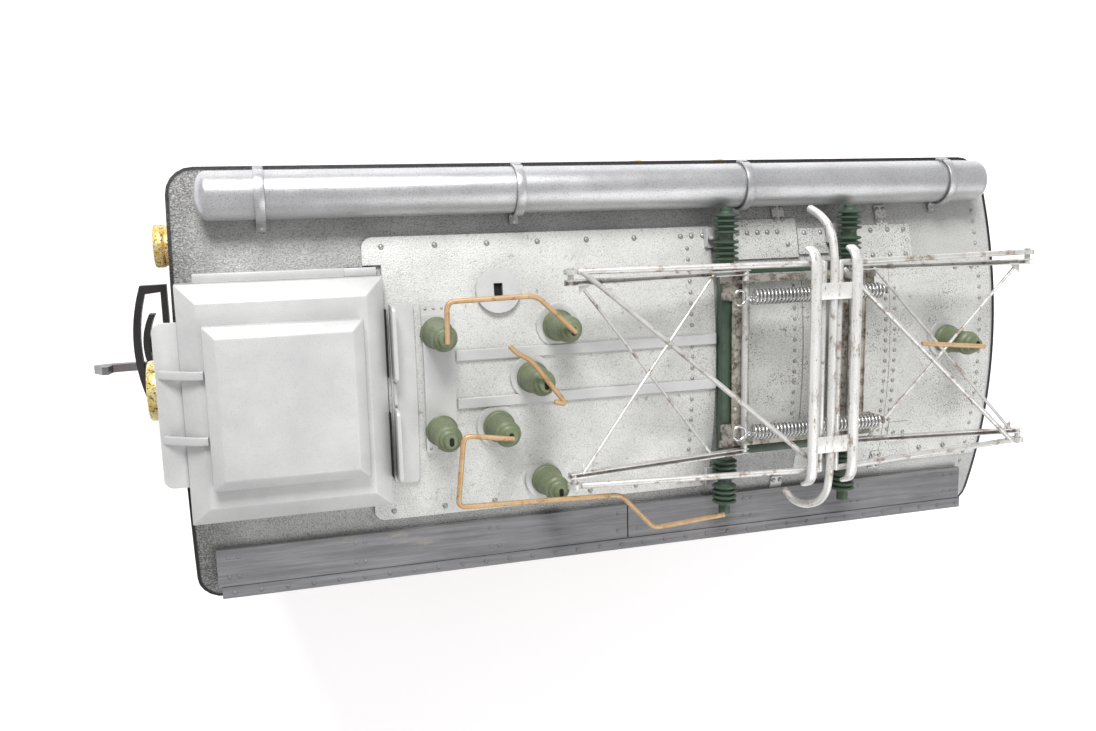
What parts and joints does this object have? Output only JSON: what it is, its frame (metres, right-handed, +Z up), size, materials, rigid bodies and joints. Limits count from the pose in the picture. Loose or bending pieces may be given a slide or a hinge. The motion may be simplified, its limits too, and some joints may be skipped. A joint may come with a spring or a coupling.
{
  "type": "model electric locomotive",
  "caption": "Large-scale model box-cab electric locomotive with a folding diamond pantograph, roof insulators, roof air tank, swivelling hook couplers and a worm-driven underframe.",
  "frame": {"origin": "on the ground under the middle of the locomotive, at the height of the lowest point of the wheel flanges", "axes": "X along the locomotive with the hatch end (front) at -X, Y across it with the roof air tank at +Y, Z up"},
  "size_m": [0.3186, 0.1198, 0.1689],
  "materials": {
    "roof_silver": "pebbled silver paint",
    "plate_silver": "satin silver paint",
    "tank_silver": "metallic silver paint",
    "walkway_grey": "moulded wood grain",
    "insulator_green": "matt sage green",
    "frame_green": "matt dark green",
    "copper_wire": "dull bare wire",
    "panto_steel": "worn bright steel",
    "spring_steel": "bright spring wire",
    "cab_paint": "satin dark red",
    "window_clear": "clear",
    "frame_black": "satin black",
    "lamp_brass": "hammered gold paint with dark specks",
    "hook_steel": "blackened",
    "wheel_steel": "dark turned steel",
    "motor_steel": "plain"
  },
  "bodies": {
    "locomotive": {"air_tank": "tank_silver", "baffle_tray": "plate_silver", "buffer_beam_front": "frame_black", "buffer_beam_rear": "frame_black", "cab_shell": "cab_paint", "disc_cover": "plate_silver", "door_rail_left": "lamp_brass", "door_rail_right": "lamp_brass", "hatch_base": "plate_silver", "hatch_lid": "plate_silver", "insulator_a": "insulator_green", "insulator_b": "insulator_green", "insulator_c": "insulator_green", "insulator_d": "insulator_green", "insulator_e": "insulator_green", "insulator_f": "insulator_green", "insulator_frame": "frame_green", "insulator_g": "insulator_green", "insulator_strip": "plate_silver", "lamp_front_left": "lamp_brass", "lamp_front_right": "lamp_brass", "lamp_front_top": "lamp_brass", "lamp_rear_left": "lamp_brass", "lamp_rear_right": "lamp_brass", "lamp_rear_top": "lamp_brass", "lamp_visor": "plate_silver", "motor_block": "frame_black", "motor_can": "motor_steel", "panto_base_frame": "panto_steel", "roof_plate": "plate_silver", "roof_shell": "roof_silver", "saddle_front_left": "plate_silver", "saddle_front_right": "plate_silver", "saddle_rear_left": "plate_silver", "saddle_rear_right": "plate_silver", "spring_left": "spring_steel", "spring_right": "spring_steel", "tank_strap_1": "plate_silver", "tank_strap_2": "plate_silver", "tank_strap_3": "plate_silver", "tank_strap_4": "plate_silver", "underframe": "frame_black", "walkway": "walkway_grey", "window_liner": "window_clear", "wire_a_to_b": "copper_wire", "wire_e_to_bar": "copper_wire", "wire_over_c": "copper_wire"},
    "lower_arm_front_body": {"lower_arm_front": "panto_steel"},
    "lower_arm_rear_body": {"lower_arm_rear": "panto_steel", "wire_to_g": "copper_wire"},
    "upper_arm_front_body": {"upper_arm_front": "panto_steel"},
    "upper_arm_rear_body": {"upper_arm_rear": "panto_steel"},
    "pan_head_body": {"pan_head": "panto_steel"},
    "coupler_front_body": {"coupler_front": "frame_black"},
    "coupler_rear_body": {"coupler_rear": "frame_black"},
    "hook_front_body": {"hook_front": "hook_steel"},
    "hook_rear_body": {"hook_rear": "hook_steel"},
    "wheelset_front_body": {"wheelset_front": "wheel_steel"},
    "wheelset_rear_body": {"wheelset_rear": "wheel_steel"},
    "worm_shaft_body": {"worm_shaft": "motor_steel"}
  },
  "joints": [
    {"name": "pantograph_raise", "type": "hinge", "parent": "locomotive", "child": "lower_arm_front_body", "pos_m": [0.0312, 0, 0.1492], "axis": [0, 1, 0], "range_deg": [0, 45]},
    {"name": "lower_rear_swing", "type": "hinge", "parent": "locomotive", "child": "lower_arm_rear_body", "pos_m": [0.0662, 0, 0.1492], "axis": [0, 1, 0], "range_deg": [-46, 0]},
    {"name": "upper_front_fold", "type": "hinge", "parent": "lower_arm_front_body", "child": "upper_arm_front_body", "pos_m": [-0.02326, 0, 0.15685], "axis": [0, 1, 0], "range_deg": [-86, 0]},
    {"name": "upper_rear_fold", "type": "hinge", "parent": "lower_arm_rear_body", "child": "upper_arm_rear_body", "pos_m": [0.12066, 0, 0.15685], "axis": [0, 1, 0], "range_deg": [0, 86]},
    {"name": "pan_head_level", "type": "hinge", "parent": "upper_arm_front_body", "child": "pan_head_body", "pos_m": [0.0462, 0, 0.16549], "axis": [0, 1, 0], "range_deg": [0, 41]},
    {"name": "coupler_front_swivel", "type": "hinge", "parent": "locomotive", "child": "coupler_front_body", "pos_m": [-0.099, 0, 0.03], "axis": [0, 0, 1], "range_deg": [-10, 10]},
    {"name": "coupler_rear_swivel", "type": "hinge", "parent": "locomotive", "child": "coupler_rear_body", "pos_m": [0.099, 0, 0.03], "axis": [0, 0, 1], "range_deg": [-10, 10]},
    {"name": "hook_front_dip", "type": "hinge", "parent": "coupler_front_body", "child": "hook_front_body", "pos_m": [-0.1292, -0.008, 0.0256], "axis": [0, -1, 0], "range_deg": [0, 15], "stiffness_Nm_per_rad": 0.01, "springref_deg": -5.73},
    {"name": "hook_rear_dip", "type": "hinge", "parent": "coupler_rear_body", "child": "hook_rear_body", "pos_m": [0.1292, -0.008, 0.0256], "axis": [0, 1, 0], "range_deg": [0, 15], "stiffness_Nm_per_rad": 0.01, "springref_deg": -5.73},
    {"name": "wheelset_front_spin", "type": "hinge", "parent": "locomotive", "child": "wheelset_front_body", "pos_m": [-0.055, 0, 0.019], "axis": [0, 1, 0], "continuous": true},
    {"name": "wheelset_rear_spin", "type": "hinge", "parent": "locomotive", "child": "wheelset_rear_body", "pos_m": [0.055, 0, 0.019], "axis": [0, 1, 0], "continuous": true},
    {"name": "worm_shaft_spin", "type": "hinge", "parent": "locomotive", "child": "worm_shaft_body", "pos_m": [0, 0, 0.0299], "axis": [1, 0, 0], "continuous": true}
  ],
  "couplings": [
    {"joint": "lower_rear_swing", "follows": "pantograph_raise", "ratio": -1},
    {"joint": "upper_front_fold", "follows": "pantograph_raise", "ratio": -1.882},
    {"joint": "upper_rear_fold", "follows": "pantograph_raise", "ratio": 1.882},
    {"joint": "pan_head_level", "follows": "pantograph_raise", "ratio": 0.882},
    {"joint": "wheelset_rear_spin", "follows": "wheelset_front_spin", "ratio": 1},
    {"joint": "worm_shaft_spin", "follows": "wheelset_front_spin", "ratio": 20}
  ]
}
